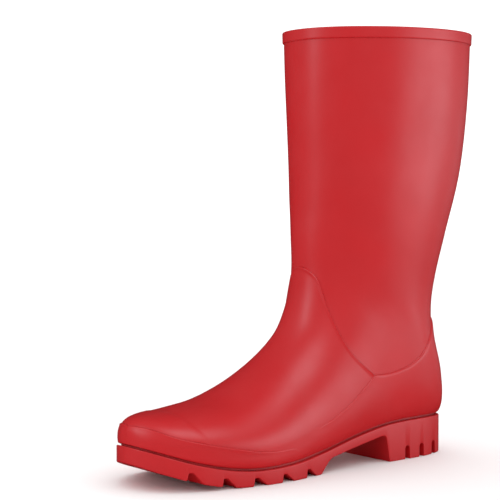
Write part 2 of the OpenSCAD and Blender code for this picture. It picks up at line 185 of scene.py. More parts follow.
def counter_seam():
    """Points along the seam: share of its length, section number, degrees behind the side."""
    end = np.array([13.0, 15.0])                 # sections below and above the seam at the back
    for _ in range(40):
        low = ring(end.mean(), 180.0)[2] < SEAM_BACK[0, 1]
        end[0 if low else 1] = end.mean()
    v = end[0] - (end[0] - SEAM_FRONT[-1]) * np.linspace(1, 0, 300) ** 2
    last = last_phi(v, 1)
    near, far = np.full(v.shape, 90.0), last.copy()
    for _ in range(40):
        mid = (near + far) / 2
        p = ring(v, mid)
        above = p[:, 2] > seam_height(p[:, 0])
        near, far = np.where(above, mid, near), np.where(above, far, mid)
    near[-1] = 180
    p = ring(v, near)
    length = np.concatenate([[0], np.cumsum(np.linalg.norm(np.diff(p, axis=0), axis=-1))])
    return length / length[-1], v, near - 90


SEAM_X, SEAM_V, SEAM_ROUND = counter_seam()


def behind(q):
    """Share of the way from the side column to the last one."""
    return np.clip((np.asarray(q, float) - SIDE_COL) / (COLS - SIDE_COL), 0, 1)


def seam_v(q):
    """Section number of the leg's lower seam on column q."""
    front = along(SEAM_FRONT, np.minimum(q, SIDE_COL))
    return np.where(q <= SIDE_COL, front, np.interp(behind(q), SEAM_X, SEAM_V))


def heel_part(j):
    """How far up from the waist to the seam a row has come on the last column, round the heel."""
    j = np.asarray(j, float)
    heel_share = (V_HEEL - V_WAIST) / (SEAM_V[-1] - V_WAIST)
    low = heel_share * (1 - (1 - np.clip((j - ROW_WAIST) / (ROW_HEEL - ROW_WAIST), 0, 1)) ** 1.8)
    return low + (1 - heel_share) * np.clip((j - ROW_HEEL) / (ROW_SEAM - ROW_HEEL), 0, 1)


def even_part(j):
    """The same on the inner columns."""
    return np.clip((np.asarray(j, float) - ROW_WAIST) / (ROW_SEAM - ROW_WAIST), 0, 1)


WAIST_ROUND = float(last_phi(np.array([V_WAIST]), 1)[0]) - 90


def col_phi(q, j, v):
    """Angle of column q at row j, whose section is v: the last column keeps to the groove,
    and the columns run evenly through the counter's seam."""
    q, j, v = np.broadcast_arrays(np.asarray(q, float), np.asarray(j, float), np.asarray(v, float))
    x = behind(q)
    edge = last_phi(V_WAIST + (SEAM_V[-1] - V_WAIST) * heel_part(j), 1) - 90
    turned = np.where(j >= ROW_HEEL, 1, (edge - WAIST_ROUND) / (90 - WAIST_ROUND))
    at_seam = np.interp(x, SEAM_X, SEAM_ROUND)
    t = np.clip((ROW_BAND - j) / (ROW_BAND - ROW_SEAM), 0, 1)
    above = 90 * x + (at_seam - 90 * x) * t * t * (3 - 2 * t)
    turned = even_part(j) + (turned - even_part(j)) * x ** 5
    round_heel = WAIST_ROUND * x + (at_seam - WAIST_ROUND * x) * turned
    below = np.where(j > ROW_WAIST, round_heel, x * (last_phi(v, 1) - 90))
    past_side = np.where(j >= ROW_SEAM, above, below)
    return np.where(q <= SIDE_COL, 90 * q / SIDE_COL, 90 + past_side)


# rough angle of each column over the forepart
NOMINAL = 90 + 30 * behind(np.arange(COLS + 1))
NOMINAL[:SIDE_COL] = 90 * np.arange(SIDE_COL) / SIDE_COL
# upper edges of the rand and of the toe cap: a section number for each column
RAND = np.interp(NOMINAL, [0, 30, 56, 70, 80, 90, 100, 120], [0.7, 1.15, 2.06, 2.8, 3.8, 5.0, 6.1, 6.6])
CAP = np.interp(NOMINAL, [0, 46, 70, 120], [3.4, 3.46, 3.69, 3.69])


def band_v(q):
    """Section number of the top band's lower edge; the band keeps its height all round."""
    front = (1 + np.cos(np.pi / 2 * (np.minimum(q / SIDE_COL, 1) + behind(q)))) / 2
    rise = SECTIONS[-1] - SECTIONS[-2]
    return V_TOP - BAND_H / (rise[3] + (rise[1] - rise[3]) * front)


AT_LINE = 1e-9                               # line numbers this close are the same line
NUDGE = 0.02                                 # step in section or row number that slopes are taken over


def row_v(q, j):
    """Section number on column q at row j, both as real numbers."""
    q, j = np.broadcast_arrays(np.asarray(q, float), np.asarray(j, float))
    seam, rand, band = seam_v(q), along(RAND, q), band_v(q)
    cap = np.maximum(rand, along(CAP, q))
    rows = [0, ROW_RAND, ROW_CAP, ROW_WAIST, ROW_SEAM, ROW_BAND, ROW_TOP]
    part = [np.clip((j - a) / (b - a), 0, 1) for a, b in zip(rows, rows[1:])]
    foot = V_WAIST + (seam - V_WAIST) * (even_part(j) + (heel_part(j) - even_part(j)) * behind(q) ** 5)
    v = np.select(
        [j <= ROW_RAND, j <= ROW_CAP, j <= ROW_WAIST, j <= ROW_SEAM, j <= ROW_BAND],
        [rand * part[0] ** 1.6, rand + (cap - rand) * part[1], cap + (V_WAIST - cap) * part[2], foot,
         seam + (band - seam) * part[4]],
        band + (V_TOP - band) * part[5])
    return np.where((q >= COLS) & (np.abs(j - ROW_HEEL) < AT_LINE), V_HEEL, v)


def unit(v):
    """Vectors made one long."""
    return v / np.maximum(np.linalg.norm(v, axis=-1, keepdims=True), 1e-12)


class Skin:
    """The outer face of the leg rubber as a grid over rows and signed columns."""

    def __init__(self, rows, cols):
        both = np.concatenate([-cols[:0:-1], cols])
        self.fill(*np.meshgrid(rows, both, indexing="ij"))

    def fill(self, j, c):
        """Finds points and outward directions at rows j and signed columns c."""
        q = np.abs(c)
        # the two sides share their points at the tip of the toe and up the back
        joined = (j <= 0) | ((q >= COLS) & (j >= ROW_HEEL - AT_LINE))
        side = np.where((c < 0) & ~joined, -1.0, 1.0)
        v = row_v(q, j)
        phi = side * col_phi(q, j, v)
        self.j, self.q, self.v, self.side = j, q, v, side
        self.p = ring(v, phi)
        self.n = self.directions(phi)
        # where the skin moves out, it follows the sole's slope: all of it at the groove and the
        # toe, none of it at the side
        edge = np.where(c < 0, 0, c.shape[1] - 1)
        self.edge_p = np.take_along_axis(self.p, edge[..., None], 1)
        self.edge_n = np.take_along_axis(self.n, edge[..., None], 1)
        self.rise_share = np.where(j <= ROW_HEEL, np.where(j <= 0, 1, behind(q) ** 2), 0)
        # millimetres along the surface for one row and for one column; the columns behind the
        # side share about 40 degrees
        row_step = ring(row_v(q, j + NUDGE), phi) - ring(row_v(q, np.maximum(j - NUDGE, 0)), phi)
        self.mm_row = np.linalg.norm(row_step, axis=-1) / (2 * NUDGE)
        col_degrees = np.where(q <= SIDE_COL, 90 / SIDE_COL, 40 / (COLS - SIDE_COL))
        self.mm_col = np.linalg.norm(ring(v, phi + 1) - ring(v, phi - 1), axis=-1) / 2 * col_degrees
        self.above_groove = self.p[..., 2] - sole_top(self.p[..., 0]) - GROOVE_H

    def directions(self, phi):
        """Outward directions: square to the skin, but level along the groove and ahead at the toe."""
        q, v, side, j = self.q, self.v, self.side, self.j
        out = unit(np.cross(ring(v, phi + 1) - ring(v, phi - 1),
                            ring(v + NUDGE, phi) - ring(np.maximum(v - NUDGE, 0), phi)))
        va, vb = np.maximum(v - NUDGE, 0), np.minimum(v + NUDGE, V_HEEL)
        d = ring(vb, side * last_phi(vb, side)) - ring(va, side * last_phi(va, side))
        level = side[..., None] * unit(np.stack([d[..., 1], -d[..., 0], 0 * d[..., 0]], -1))
        share = behind(q) ** 2 * np.where(q >= COLS, v < V_HEEL, np.clip((V_HEEL - v) / 0.3, 0, 1))
        out = unit(out + (level - out) * share[..., None])
        toe = unit(np.stack([np.ones_like(v), 0 * v, 0.6 * (self.p[..., 2] - TOE_Z) / TIP_H], -1))
        out = np.where((j <= 0)[..., None], toe, out)
        back = (q >= COLS) & (np.abs(j - ROW_HEEL) < AT_LINE)
        return np.where(back[..., None], np.array([-1.0, 0, 0]), out)

    def at(self, d):
        """The grid moved out by d (a number or an array over the grid)."""
        d = np.broadcast_to(np.asarray(d, float), self.v.shape)
        lift = sole_top(self.edge_p[..., 0] + d * self.edge_n[..., 0]) - sole_top(self.edge_p[..., 0])
        p = self.p + d[..., None] * self.n
        p[..., 2] += lift * self.rise_share
        return p


def place(p):
    """From (a, s, z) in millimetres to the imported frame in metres."""
    p = np.asarray(p, float)
    return np.stack([p[..., 1], MID_A - p[..., 0], p[..., 2]], -1) * MM


def ease(t):
    """From 0 to 1 with a level start and end."""
    t = np.clip(t, 0, 1)
    return t * t * (3 - 2 * t)


def roll(d, r):
    """How far up a rounded edge has come at distance d in from it, from 0 to 1 over r."""
    return np.sqrt(1 - (1 - np.clip(d / r, 0, 1)) ** 2)


# extra lines beside a panel edge, in millimetres from it
BESIDE = np.array([0.06, 0.2, 0.42, 0.75, 1.2, 1.9, 3.0])
ROW_EDGES = [ROW_RAND, ROW_CAP, ROW_WAIST, ROW_SEAM, ROW_BAND, ROW_TOP]
COL_EDGES = [SIDE_COL, COLS]


def lines(base, per_step, edges, mm_per_line):
    """The base line numbers and those beside the edges, for every value of mm_per_line(edge)."""
    last = base[-1]
    found = [(line, np.full_like(mm_per_line(0), line)) for line in base]
    # where lines are close together, those beside an edge stay within 0.9 of a base step
    reach = 0.9 / per_step * np.arange(1, len(BESIDE) + 1) / len(BESIDE)
    for edge in edges:
        step = mm_per_line(edge)
        for mm, most in zip(BESIDE, reach):
            move = np.minimum(mm / step, most)
            for way in (-1, 1):
                if 0 < edge + way * move.min() < last:
                    found.append((edge + way * most, edge + way * move))
    found.sort(key=lambda pair: pair[0])
    return np.array([pair[0] for pair in found]), np.array([pair[1] for pair in found])


class Grid(Skin):
    """The skin at the step the pieces are made at, with lengths along it."""

    def __init__(self, per_row=3, per_col=4):
        rough = Skin(np.arange(ROW_TOP + 1), np.arange(COLS + 1))

        def mm_row(edge):
            return np.maximum(rough.mm_row[edge, COLS:], 0.05)

        def mm_col(edge):
            return np.maximum(rough.mm_col[:, COLS + edge], 0.5)

        row_names, j_at = lines(np.arange(ROW_TOP * per_row + 1) / per_row, per_row, ROW_EDGES, mm_row)
        base = np.arange(COLS * per_col + 1) / per_col
        # twice as many columns just behind the side, where the counter's front edge softens
        behind_side = (base > SIDE_COL) & (base < SIDE_COL + 4)
        base = np.sort(np.concatenate([base, base[behind_side] + 0.5 / per_col]))
        col_names, q_at = lines(base, per_col, COL_EDGES, mm_col)
        # rows were found per whole column, and columns per whole row: fill in between
        q = np.array([np.interp(row_names, np.arange(ROW_TOP + 1), line) for line in q_at]).T
        j = np.array([np.interp(col_names, np.arange(COLS + 1), line) for line in j_at])
        both = np.concatenate([-q[:, :0:-1], q], 1)
        self.row_names = row_names
        self.col_names = np.concatenate([-col_names[:0:-1], col_names])
        self.fill(np.concatenate([j[:, :0:-1], j], 1), both)
        step = np.linalg.norm(np.diff(self.p, axis=0), axis=-1)
        self.s = np.concatenate([np.zeros((1, step.shape[1])), np.cumsum(step, 0)])
        step = np.linalg.norm(np.diff(self.p, axis=1), axis=-1)
        t = np.concatenate([np.zeros((step.shape[0], 1)), np.cumsum(step, 1)], 1)
        self.mid = len(col_names) - 1
        self.t = t - t[:, self.mid:self.mid + 1]

    def row(self, line):
        """Index of the grid row nearest to a row line."""
        return int(np.argmin(np.abs(self.row_names - line)))

    def col(self, line):
        """Index of the grid column nearest to a signed column line."""
        return int(np.argmin(np.abs(self.col_names - line)))

    def from_line(self, points):
        """Millimetres from every grid point to a polyline on the skin."""
        a, ab = points[:-1], np.diff(points, axis=0)
        keep = (ab ** 2).sum(-1) > 1e-9
        a, ab = a[keep], ab[keep]
        out = np.empty(self.v.shape)
        for i, row in enumerate(self.p):
            ap = row[:, None] - a[None]
            t = np.clip((ap * ab).sum(-1) / (ab ** 2).sum(-1), 0, 1)
            out[i] = np.linalg.norm(ap - t[..., None] * ab, axis=-1).min(1)
        return out

    def from_row(self, line):
        """Millimetres from a row line, more towards the leg opening."""
        way = np.sign(self.row_names - line)[:, None]
        return way * self.from_line(self.p[self.row(line)])

    def from_side(self):
        """Millimetres behind the front edge of the heel counter."""
        r = slice(self.row(ROW_WAIST), self.row(ROW_SEAM) + 1)
        left, right = (self.from_line(self.p[r, self.col(way * SIDE_COL)]) for way in (-1, 1))
        return np.where(self.col_names < 0, left, right) * np.sign(np.abs(self.col_names) - SIDE_COL)

    def cells(self, row0, row1, has=lambda q, j: True):
        """Which cells a panel covers, from the lines of its rows and a test on cell middles."""
        r = (self.row_names[1:] + self.row_names[:-1]) / 2
        c = np.abs(self.col_names[1:] + self.col_names[:-1]) / 2
        q, j = np.meshgrid(c, r)
        return (j > row0) & (j < row1) & has(q, j)


# ------------------------------------------------------------------ meshes

def mesh_object(name, points, faces, uvs=None, sharp=40):
    """A smooth-shaded mesh object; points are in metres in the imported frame."""
    mesh = bpy.data.meshes.new(name)
    mesh.from_pydata([tuple(p) for p in points], [], faces)
    if uvs is not None:
        layer = mesh.uv_layers.new(name="along_skin")
        layer.data.foreach_set("uv", np.asarray(uvs, float).ravel())
    bm = bmesh.new()
    bm.from_mesh(mesh)
    bmesh.ops.dissolve_degenerate(bm, dist=2e-7, edges=bm.edges)
    loose = [v for v in bm.verts if not v.link_faces]
    bmesh.ops.delete(bm, geom=loose, context="VERTS")
    bmesh.ops.recalc_face_normals(bm, faces=bm.faces)
    bm.to_mesh(mesh)
    bm.free()
    mesh.polygons.foreach_set("use_smooth", [True] * len(mesh.polygons))
    mesh.set_sharp_from_angle(angle=math.radians(sharp))
    obj = bpy.data.objects.new(name, mesh)
    bpy.context.collection.objects.link(obj)
    return obj


def shell(name, grid, cells, low, high, sharp=40):
    """A closed thin panel over the given grid cells, from offset low out to offset high."""
    rows, cols = grid.j.shape
    number = np.arange(rows * cols).reshape(rows, cols)
    number[0, :grid.mid] = number[0, :grid.mid:-1]      # the toe tip closes like a zip
    heel = grid.row(ROW_HEEL)
    number[heel:, 0] = number[heel:, -1]                # and the back is joined
    points = np.concatenate([place(grid.at(high)).reshape(-1, 3), place(grid.at(low)).reshape(-1, 3)])
    uv = np.stack([grid.t, grid.s], -1).reshape(-1, 2) * MM
    flat = np.arange(rows * cols).reshape(rows, cols)
    under = rows * cols
    faces, uvs = [], []

    def add(corners):
        ids = [number.flat[k] + (under if deep else 0) for deep, k in corners]
        pairs = [(i, uv[k]) for n, (i, (_, k)) in enumerate(zip(ids, corners)) if i != ids[n - 1]]
        if len(pairs) > 2 and len({i for i, _ in pairs}) == len(pairs):
            faces.append([int(i) for i, _ in pairs])
            uvs.extend(u for _, u in pairs)

    def has(i, k):
        return 0 <= i < rows - 1 and 0 <= k < cols - 1 and cells[i, k]

    for i, k in zip(*np.nonzero(cells)):
        a, b, e, f = flat[i, k], flat[i, k + 1], flat[i + 1, k + 1], flat[i + 1, k]
        add([(0, a), (0, b), (0, e), (0, f)])
        add([(1, f), (1, e), (1, b), (1, a)])
        if i > 0 and not has(i - 1, k):
            add([(0, a), (1, a), (1, b), (0, b)])
        if not has(i + 1, k):
            add([(0, e), (1, e), (1, f), (0, f)])
        for wall, beyond, at_end in (((b, e), k + 1, k + 1 == cols - 1), ((f, a), k - 1, k == 0)):
            goes_on = i >= heel if at_end else has(i, beyond)
            if not goes_on:
                add([(0, wall[0]), (1, wall[0]), (1, wall[1]), (0, wall[1])])
    return mesh_object(name, points, faces, uvs, sharp)


# ---- plates and the outsole: cross-sections set one behind the other along the boot

BOTTOM_ROWS = Skin(np.arange(0, ROW_HEEL * 20 + 1) / 20, np.array([0.0, COLS]))


class Outline:
    """The plan of the boot at the groove, moved out by d."""

    def __init__(self, d):
        p = BOTTOM_ROWS.at(d)
        self.inner, self.outer = p[::-1, -1, :2], p[::-1, 0, :2]
        self.back, self.front = self.inner[0, 0], self.inner[-1, 0]
        self.edge = np.concatenate([self.inner, self.outer[::-1]])

    def sides(self, a):
        """The inner and the outer edge at a."""
        return (np.interp(a, self.inner[:, 0], self.inner[:, 1]),
                np.interp(a, self.outer[:, 0], self.outer[:, 1]))

    def inset(self, points):
        """Distance in plan from points to the outline."""
        a, b = self.edge[:-1], self.edge[1:]
        ab = b - a
        keep = (ab ** 2).sum(-1) > 1e-12
        a, ab = a[keep], ab[keep]
        ap = points[:, None, :2] - a[None]
        t = np.clip((ap * ab).sum(-1) / (ab ** 2).sum(-1), 0, 1)
        return np.linalg.norm(ap - t[..., None] * ab, axis=-1).min(1)


# cross-sections this far from each end of a plate, in millimetres
END_STEPS = np.array([0.004, 0.03, 0.1, 0.22, 0.4, 0.65, 1.0, 1.6, 2.5, 3.8, 5.5, 7.5, 10.0])
# points across half a plate: shares of the edge's radius, then shares of the way to the middle
ACROSS = np.array([0.0, 0.04, 0.15, 0.32, 0.6, 1.0])
TO_MIDDLE = np.array([0.12, 0.3, 0.5, 0.75, 1.0])


def slab(name, outline, low, top_round, low_round, height=None, high=None, sharp=40, dish=None):
    """A closed plate over the outline. low is a polyline (a, z) along its underside; the top
    is height above it, or high(a). Its upper and lower edges are rounded, and dish(a, s, d)
    raises or presses its top at distance d in from the edge."""
    a_line, z_line = np.asarray(low, float).T
    inside = (a_line > outline.back + END_STEPS[0]) & (a_line < outline.front - END_STEPS[0])
    ends = np.concatenate([outline.back + END_STEPS, outline.front - END_STEPS])
    a = np.concatenate([a_line[inside], ends])
    z = np.concatenate([z_line[inside], np.interp(ends, a_line, z_line)])
    order = np.argsort(a, kind="stable")
    a, z = a[order], z[order]
    keep = np.concatenate([[True], (np.diff(a) > 1e-4) | (np.abs(np.diff(z)) > 1e-3)])
    a, z = a[keep], z[keep]
    z_top = high(a) if high else z + height
    inner, outer = outline.sides(a)
    mid, half = (inner + outer) / 2, (inner - outer) / 2

    def across(r):
        near = np.minimum(ACROSS[None] * r, 0.5 * half[:, None])
        far = near[:, -1:] + (half[:, None] - near[:, -1:]) * TO_MIDDLE
        s = half[:, None] - np.concatenate([near, far], 1)          # from the wall to the middle
        return np.concatenate([mid[:, None] + s, mid[:, None] - s[:, -2::-1]], 1)

    def face(r, z_flat, way):
        s = across(r)
        plan = np.stack([np.broadcast_to(a[:, None], s.shape), s], -1)
        d = outline.inset(plan.reshape(-1, 2)).reshape(s.shape)
        d[:, 0] = d[:, -1] = 0
        lift = np.clip(r - d, 0, r)
        zz = z_flat[:, None] - way * (r - np.sqrt(np.maximum(r * r - lift * lift, 0)))
        if dish is not None and way > 0:
            zz = zz + dish(plan[..., 0], plan[..., 1], d)
        return np.concatenate([plan, zz[..., None]], -1)

    top, bottom = face(top_round, z_top, 1), face(low_round, z, -1)
    loop = np.concatenate([top, bottom[:, ::-1]], 1)
    count, n = loop.shape[:2]
    faces = []
    for i in range(count - 1):
        for k in range(n):
            m = (k + 1) % n
            faces.append([i * n + k, i * n + m, (i + 1) * n + m, (i + 1) * n + k])
    for i in (0, count - 1):
        for k in range(n // 2 - 1):
            faces.append([i * n + k, i * n + k + 1, i * n + n - 2 - k, i * n + n - 1 - k])
    return mesh_object(name, place(loop.reshape(-1, 3)), faces, None, sharp)


def rounded(corners, per_arc=5):
    """A polyline with each corner (a, z, radius) turned into an arc."""
    p = np.array([c[:2] for c in corners], float)
    out = [p[0]]
    for k in range(1, len(p) - 1):
        before, after = p[k - 1] - p[k], p[k + 1] - p[k]
        lb, la = np.linalg.norm(before), np.linalg.norm(after)
        half = math.acos(np.clip(before @ after / (lb * la), -1, 1)) / 2
        cut = min(corners[k][2] / math.tan(half), 0.45 * lb, 0.45 * la)
        ends = p[k] + before / lb * cut, p[k] + after / la * cut
        for t in np.linspace(0, 1, per_arc):
            out.append((1 - t) ** 2 * ends[0] + 2 * t * (1 - t) * p[k] + t * t * ends[1])
    out.append(p[-1])
    return np.array(out)


def divided(line, step):
    """The same polyline with no stretch longer than step in a."""
    out = [line[0]]
    for p, q in zip(line, line[1:]):
        parts = int(abs(q[0] - p[0]) // step) + 1
        out += [p + (q - p) * t / parts for t in range(1, parts + 1)]
    return np.array(out)


# ------------------------------------------------------------------ the pieces

grid = Grid()
LIP_R, SEAM_R, BAND_R, RIM_R, RAND_R, COUNTER_R = 0.8, 0.6, 0.8, 0.9, 0.7, 1.6    # of moulded edges
BEAD_IN, BEAD_W = 0.85, 0.6                  # how far in from its edge a bead lies, and its width
lip = roll(np.maximum(grid.above_groove, 0) + 0.05, LIP_R)
below_seam = -grid.from_row(ROW_SEAM)
seam_roll = roll(np.maximum(below_seam, 0), SEAM_R)
to_rim = np.maximum(-grid.from_row(ROW_TOP), 0)


def bead(d, high):
    """A fine raised line just inside a moulded edge, at distance d in from it."""
    return high * np.exp(-((d - BEAD_IN) / BEAD_W) ** 2)


def add_lip(offset):
    """Rounds the lower edge of a panel in towards the groove."""
    return offset - LIP_R * (1 - lip)


def make_leg():
    # the rim is rounded towards the inside
    low = -RUBBER + 0.4 * (1 - roll(to_rim, 0.6))
    return shell("Leg_rubber", grid, grid.cells(ROW_SEAM, ROW_TOP), low, 0.0)


def make_top_band():
    up = grid.from_row(ROW_BAND)
    high = RAND_T * roll(np.maximum(up, 0), BAND_R) - 0.8 * (1 - roll(to_rim, RIM_R))
    return shell("Top_band", grid, grid.cells(ROW_BAND, ROW_TOP), 0.0, high)


def make_vamp():
    high = VAMP_STEP * seam_roll + bead(below_seam, 0.45) * np.where(grid.q < SIDE_COL, 1, 0)
    cells = grid.cells(0, ROW_SEAM, lambda q, j: (q < SIDE_COL) | (j < ROW_WAIST))
    return shell("Vamp", grid, cells, -RUBBER, add_lip(high))


def make_heel_counter():
    back = np.maximum(grid.from_side(), 0)
    # the front edge is a step at the side and sinks into the vamp on its way down to the sole
    stands = ease((grid.v - V_WAIST) / 0.7)
    edge = roll(back, COUNTER_R) * stands + ease(back / 22) * (1 - stands)
    rise = ease(grid.from_row(ROW_WAIST) / 16)
    # the upper edge is rounder at the back than at the side
    top = seam_roll + (roll(np.maximum(below_seam, 0), 2.4) - seam_roll) * ease(back / 12)
    high = VAMP_STEP + (COUNTER_STEP - VAMP_STEP) * rise * edge
    high = high * top + bead(back, 0.12) * stands * seam_roll
    cells = grid.cells(ROW_WAIST, ROW_SEAM, lambda q, j: q > SIDE_COL)
    return shell("Heel_counter", grid, cells, -RUBBER, add_lip(high))


OVER = 0.03                                  # how far a run-out edge stays above the vamp


def make_toe_cap():
    back = np.maximum(-grid.from_row(ROW_CAP), 0)
    high = VAMP_STEP + OVER + CAP_T * ease(back / 5)
    cells = grid.cells(ROW_RAND, ROW_CAP, lambda q, j: q < SIDE_COL - 1)
    return shell("Toe_cap", grid, cells, VAMP_STEP, high)


def make_toe_rand():
    down = np.maximum(-grid.from_row(ROW_RAND), 0)
    # it runs out into the vamp behind the ball, between sections 4.3 and 6.4
    stands = 1 - ease((grid.v - 4.3) / 2.1)
    high = VAMP_STEP + OVER + RAND_T * stands * roll(down, RAND_R) + bead(down, 0.3) * stands
    return shell("Toe_rand", grid, grid.cells(0, ROW_RAND), add_lip(VAMP_STEP), add_lip(high))


def make_lining():
    # it ends just below the rim, four grid rows down, with both edges rounded
    stop = grid.row_names[grid.row(ROW_TOP) - 4]
    top = np.maximum(-(grid.s - grid.s[grid.row(stop)]), 0)
    taken_off = 0.3 * (1 - roll(top, 0.4))
    high = -RUBBER - GAP - taken_off
    low = -RUBBER - KNIT + taken_off
    return shell("Knit_lining", grid, grid.cells(0, stop), low, high)


SOLE_STEP = 3.0                              # most between a plate's cross-sections


def top_line(lift):
    """The top of the outsole as a polyline from behind the heel past the toe, raised by lift."""
    a = np.arange(-12.0, 282.0, SOLE_STEP)
    return np.stack([a, sole_top(a) + lift], -1)


HEEL_FRONT, LUG_DEPTH, LUG_PITCH = 66.5, 5.5, 23.5
NOTCHES = [150.5 + LUG_PITCH * i for i in range(5)]
# a notch is steep towards the toe and slants back towards the heel: its roof reaches ROOF each way
# from its middle, its mouth reaches MOUTH_BACK back, and its front wall, drawn on until it is BELOW
# under the tread, reaches MOUTH_FRONT ahead
ROOF, MOUTH_BACK, MOUTH_FRONT, BELOW = 1.5, 8.5, 3.0, 4.0
# underside from heel to toe: (a, z, corner radius)
TREAD = [(-10, 0, 0), (HEEL_FRONT, 0, 1.2), (HEEL_FRONT + 4, 20, 4), (106, 14, 30), (127, 10, 12),
         (137, 0, 1.2), (205, 0, 12), (216, 1, 12), (227, 2.8, 12), (237, 5, 12), (248, 8, 12),
         (262, 13, 14), (275, 18.5, 0), (284, 22.5, 0)]


def under_z(a):
    """Height of the forepart's underside, without its notches."""
    rows = TREAD[5:]
    return float(np.interp(a, [r[0] for r in rows], [r[1] for r in rows]))


def tread_line():
    """The underside with its notches and heel, as a polyline with rounded corners."""
    corners = list(TREAD)
    for a in NOTCHES:
        z = under_z(a)
        # where the front wall meets the tread, taking the tread's height from near that place
        share = (under_z(a + 2.4) - z + BELOW) / (LUG_DEPTH + BELOW)
        heel_side, toe_side = a - MOUTH_BACK, a + MOUTH_FRONT - (MOUTH_FRONT - ROOF) * share
        cut = [(heel_side, under_z(heel_side), 0.9), (a - ROOF, z + LUG_DEPTH, 1.4),
               (a + ROOF, z + LUG_DEPTH, 1.2), (toe_side, under_z(toe_side), 0.8)]
        corners = [c for c in corners if not heel_side < c[0] < toe_side] + cut
    corners.sort(key=lambda c: c[0])
    return divided(rounded(corners), SOLE_STEP)


SLOTS = [(17, 15), (32.5, 23), (48, 25)]     # place, and how near the middle it reaches
SLOT_W, SLOT_H = 5.0, 10.0
TOOL_LOW, TOOL_OUT = -3, 46.0                # the cutter starts below the floor and ends past the heel


def heel_slot_tool(a, reach, side):
    """A round-topped bar that cuts one slot in the side of the heel."""
    r = SLOT_W / 2
    arc = [(a + r * math.cos(t), SLOT_H - r * (1 - math.sin(t))) for t in np.linspace(0, math.pi, 17)]
    outline = [(a + r, TOOL_LOW)] + arc + [(a - r, TOOL_LOW)]
    n = len(outline)
    ends = [side * reach, side * TOOL_OUT]
    points = [(p[0], s, p[1]) for s in ends for p in outline]
    faces = [list(range(n)), list(range(2 * n - 1, n - 1, -1))]
    faces += [[k, (k + 1) % n, n + (k + 1) % n, n + k] for k in range(n)]
    return mesh_object("slot_tool", place(np.array(points)), faces)


def join(objects):
    """All the given mesh objects as one."""
    with bpy.context.temp_override(active_object=objects[0], selected_editable_objects=objects):
        bpy.ops.object.join()
    return objects[0]


SOLE_SHARP = 50                              # degrees from which an edge of the outsole shades sharp


def make_outsole():
    sole = slab("Outsole", Outline(LEDGE), tread_line(), top_round=0.8, low_round=0.8,
                high=sole_top, sharp=SOLE_SHARP)
    tools = join([heel_slot_tool(a, reach, side) for a, reach in SLOTS for side in (-1, 1)])
    cut = sole.modifiers.new("heel_slots", "BOOLEAN")
    cut.operation, cut.solver, cut.object = "DIFFERENCE", "EXACT", tools
    soften = sole.modifiers.new("slot_edges", "BEVEL")
    soften.width, soften.segments, soften.limit_method = 0.5 * MM, 2, "ANGLE"
    soften.angle_limit = math.radians(60)
    baked = bpy.data.meshes.new_from_object(sole.evaluated_get(bpy.context.evaluated_depsgraph_get()))
    sole.modifiers.clear()
    sole.data = baked
    baked.polygons.foreach_set("use_smooth", [True] * len(baked.polygons))
    baked.set_sharp_from_angle(angle=math.radians(SOLE_SHARP))
    bpy.data.objects.remove(tools)
    return sole


def make_midsole():
    # it lies a little inside the panels, as the floor of the groove
    return slab("Midsole", Outline(-0.5), top_line(GAP), top_round=0.3, low_round=0.2,
                height=GROOVE_H - 2 * GAP)


FOOT_Z = GROOVE_H + BOARD_T                  # the footbed lies on the board
FOOTBED_IN = -RUBBER - KNIT - 0.8            # and clear of the lining


def make_footbed_foam():
    return slab("Footbed_foam", Outline(FOOTBED_IN), top_line(FOOT_Z + GAP),
                top_round=0.8, low_round=0.8, height=FOAM_T - 2 * GAP)


def make_footbed_cloth():
    def dish(a, s, d):
        """The cloth is puffed a little and pressed down along its stitched edge."""
        return 0.25 * ease(d / 5) - 0.25 * np.exp(-((d - 3.0) / 0.7) ** 2)

    return slab("Footbed_cloth", Outline(FOOTBED_IN), top_line(FOOT_Z + FOAM_T),
                top_round=0.4, low_round=0.2, height=CLOTH_T, dish=dish)


PIECES = [
    (make_leg, "leg", "rubber_upper"), (make_vamp, "vamp", "rubber_upper"),
    (make_heel_counter, "heel_counter", "rubber_upper"), (make_toe_cap, "toe_cap", "rubber_upper"),
    (make_toe_rand, "toe_rand", "rubber_upper"), (make_top_band, "top_band", "rubber_upper"),
    (make_lining, "knit_lining", "knit"), (make_outsole, "outsole", "rubber_sole"),
    (make_midsole, "midsole", "bonding_rubber"), (make_footbed_foam, "footbed_foam", "footbed_foam"),
    (make_footbed_cloth, "footbed_cloth", "knit")]


# ------------------------------------------------------------------ materials

